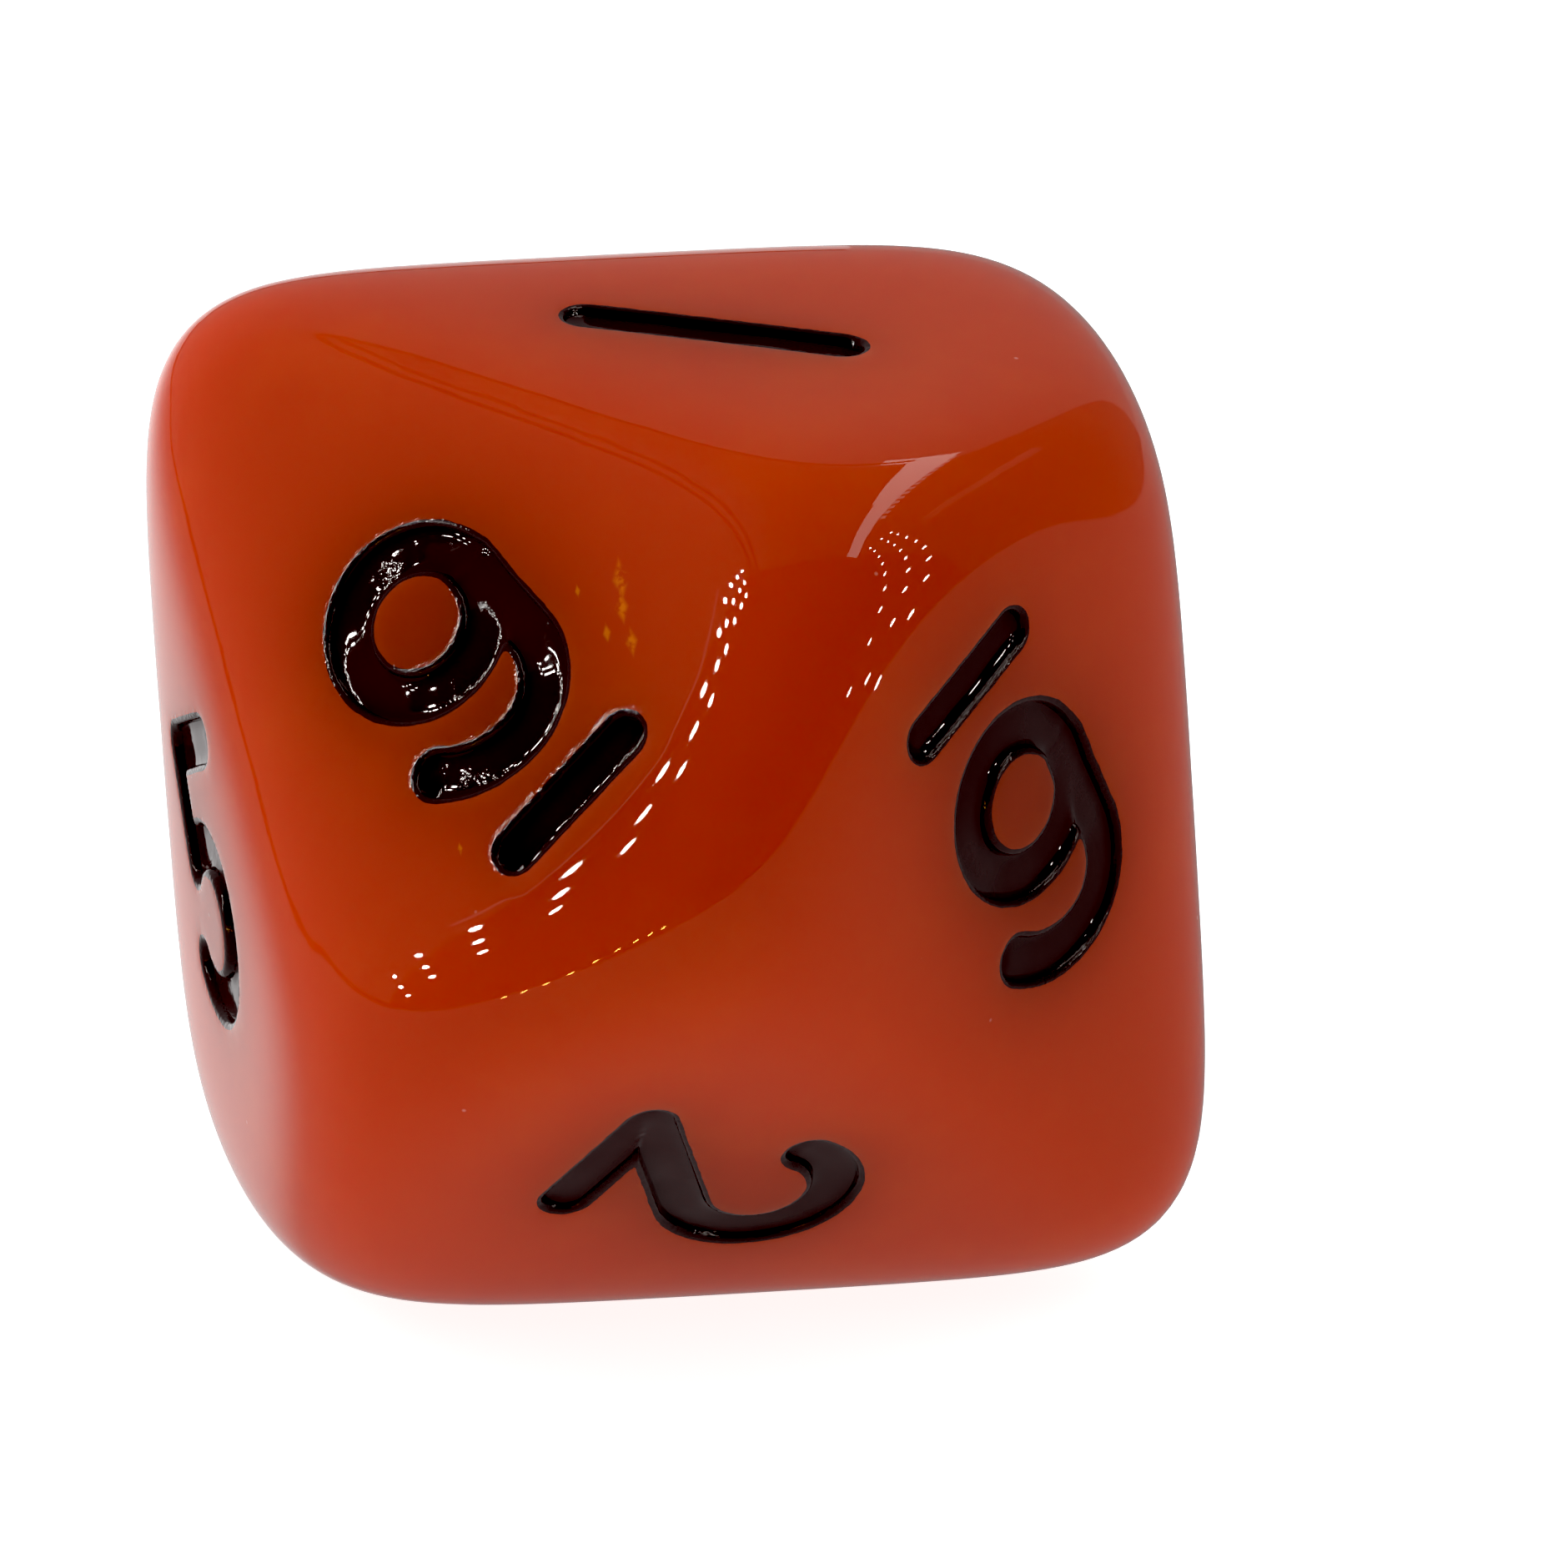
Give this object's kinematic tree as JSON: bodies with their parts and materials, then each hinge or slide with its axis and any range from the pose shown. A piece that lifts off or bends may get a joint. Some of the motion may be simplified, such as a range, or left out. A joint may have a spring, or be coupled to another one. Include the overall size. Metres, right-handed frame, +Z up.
{
  "type": "polyhedral die",
  "caption": "Ten-sided tabletop gaming die with rounded edges and recessed, ink-filled numerals 0 to 9, bars under the 6 and the 9.",
  "frame": {"origin": "on the floor under the die's centre, with the die standing on its 8 face", "axes": "+Z up and square to the 8 and 1 faces, +X along the floor towards the pole that the even numerals point to, +Y across, so that the 6, 9, 2 and 5 faces look towards -Y"},
  "size_m": [0.0184, 0.02, 0.016],
  "materials": {
    "body": "polished, slightly translucent orange-red cast resin",
    "ink": "glossy black paint filling, hand-filled and slightly uneven"
  },
  "bodies": {
    "root": {"die_body": "body", "numeral_0": "ink", "numeral_1": "ink", "numeral_2": "ink", "numeral_3": "ink", "numeral_4": "ink", "numeral_5": "ink", "numeral_6": "ink", "numeral_7": "ink", "numeral_8": "ink", "numeral_9": "ink", "underline_6": "ink", "underline_9": "ink"}
  },
  "joints": []
}
